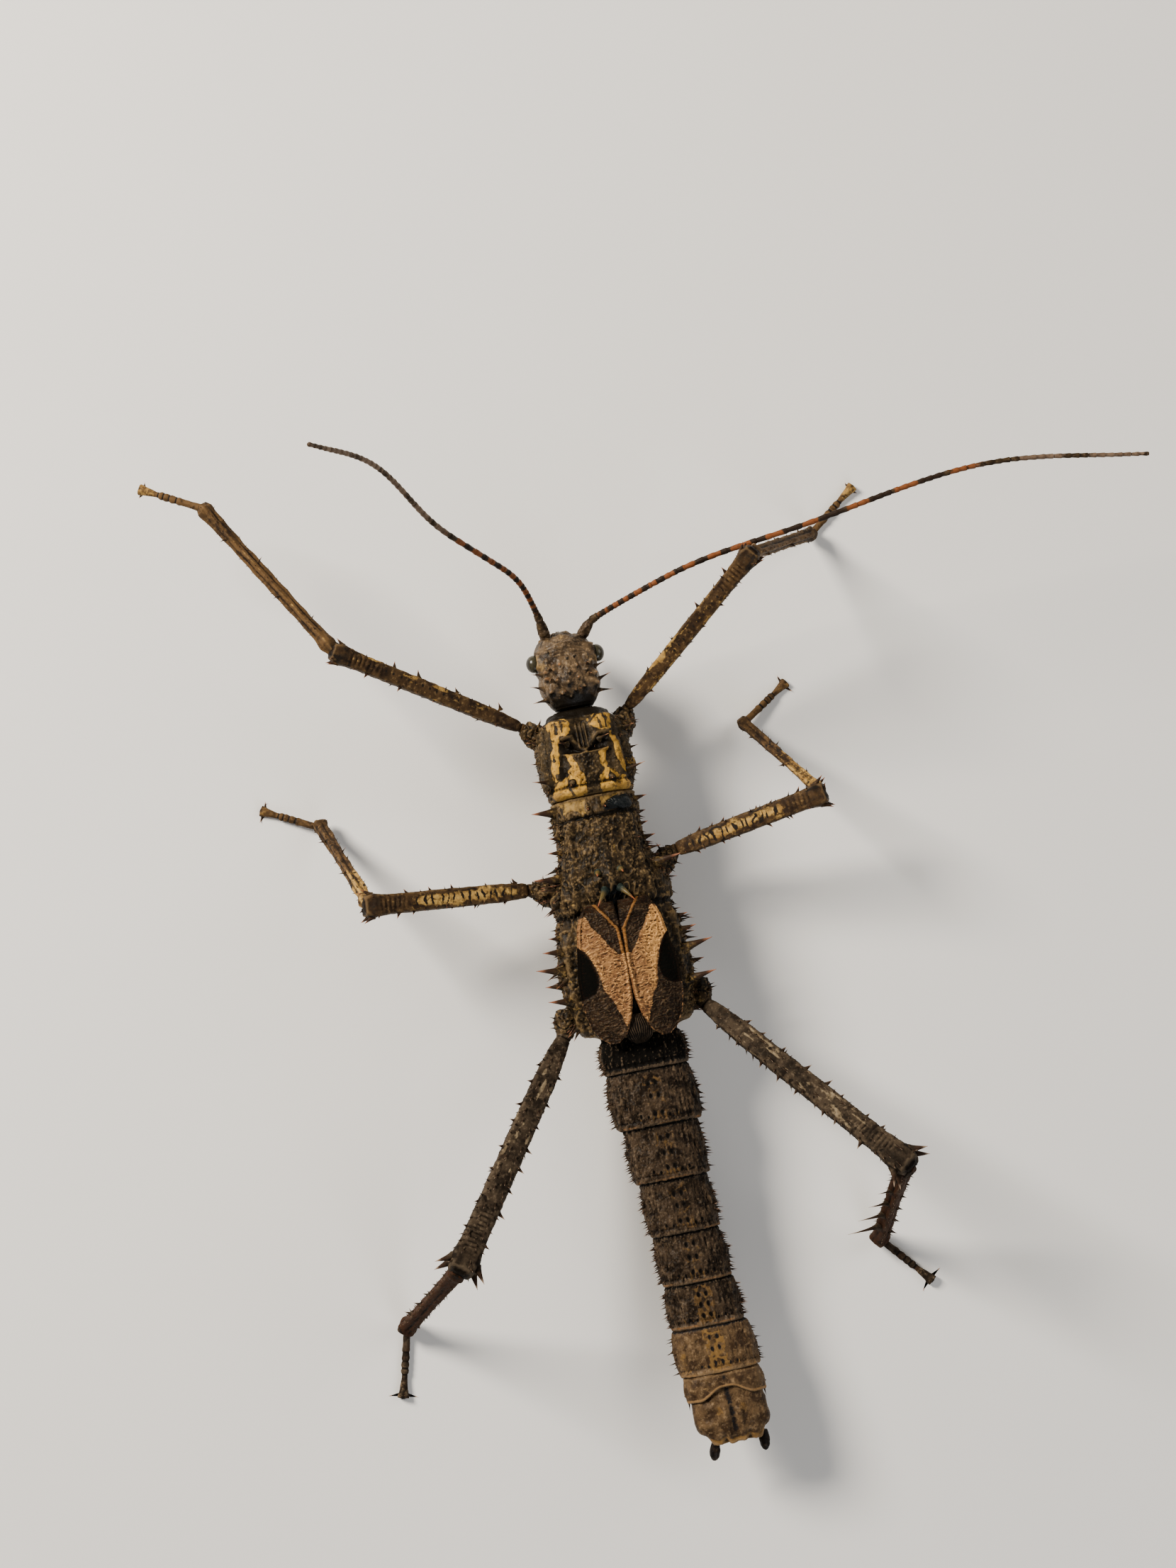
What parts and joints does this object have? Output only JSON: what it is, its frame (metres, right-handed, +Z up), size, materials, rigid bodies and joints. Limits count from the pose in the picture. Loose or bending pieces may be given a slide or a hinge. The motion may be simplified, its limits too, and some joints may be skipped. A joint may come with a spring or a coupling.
{
  "type": "giant stick insect",
  "caption": "Still, life-size giant spiny stick insect with short wing cases, standing on five feet with one foreleg lifted.",
  "frame": {"origin": "middle of the whole model's box, at floor level", "axes": "+Z up, +Y towards the head, +X to the insect's right"},
  "size_m": [0.0996, 0.1062, 0.0481],
  "materials": {
    "head": "rough granular grey-brown cuticle",
    "eye": "glossy black, faintly marbled",
    "pronotum": "yellow-tan plates marked with black",
    "thorax": "granular brown cuticle with dark spines",
    "wing": "satin copper-tan wing case with wrinkled veins and black velvet patch",
    "abdomen": "matt wrinkled brown cuticle with ochre and black marks",
    "leg": "mottled olive-brown cuticle with cream marks",
    "feeler": "rust red banded with dark brown",
    "horn": "dark brown horn"
  },
  "bodies": {
    "root": {"head": "head", "neck": "horn", "prothorax": "pronotum", "mesothorax": "thorax", "metathorax": "thorax", "tegmen_left": "wing", "tegmen_right": "wing", "hindwing": "wing", "abdomen_2": "abdomen", "abdomen_3": "abdomen", "abdomen_4": "abdomen", "abdomen_5": "abdomen", "abdomen_6": "abdomen", "abdomen_7": "abdomen", "abdomen_8": "abdomen", "abdomen_9": "abdomen", "abdomen_10": "abdomen", "eye_left": "eye", "palp_left": "horn", "cercus_left": "horn", "antenna_left_scape": "horn", "antenna_left_flagellum_base": "feeler", "antenna_left_flagellum_tip": "feeler", "eye_right": "eye", "palp_right": "horn", "cercus_right": "horn", "antenna_right_scape": "horn", "antenna_right_flagellum_base": "feeler", "antenna_right_flagellum_tip": "feeler", "coxa_front_left": "leg", "femur_front_left": "leg", "tibia_front_left": "leg", "tarsus_front_left": "leg", "coxa_front_right": "leg", "femur_front_right": "leg", "tibia_front_right": "leg", "tarsus_front_right": "leg", "coxa_mid_left": "leg", "femur_mid_left": "leg", "tibia_mid_left": "leg", "tarsus_mid_left": "leg", "coxa_mid_right": "leg", "femur_mid_right": "leg", "tibia_mid_right": "leg", "tarsus_mid_right": "leg", "coxa_hind_left": "leg", "femur_hind_left": "leg", "tibia_hind_left": "leg", "tarsus_hind_left": "leg", "coxa_hind_right": "leg", "femur_hind_right": "leg", "tibia_hind_right": "leg", "tarsus_hind_right": "leg"}
  },
  "joints": []
}
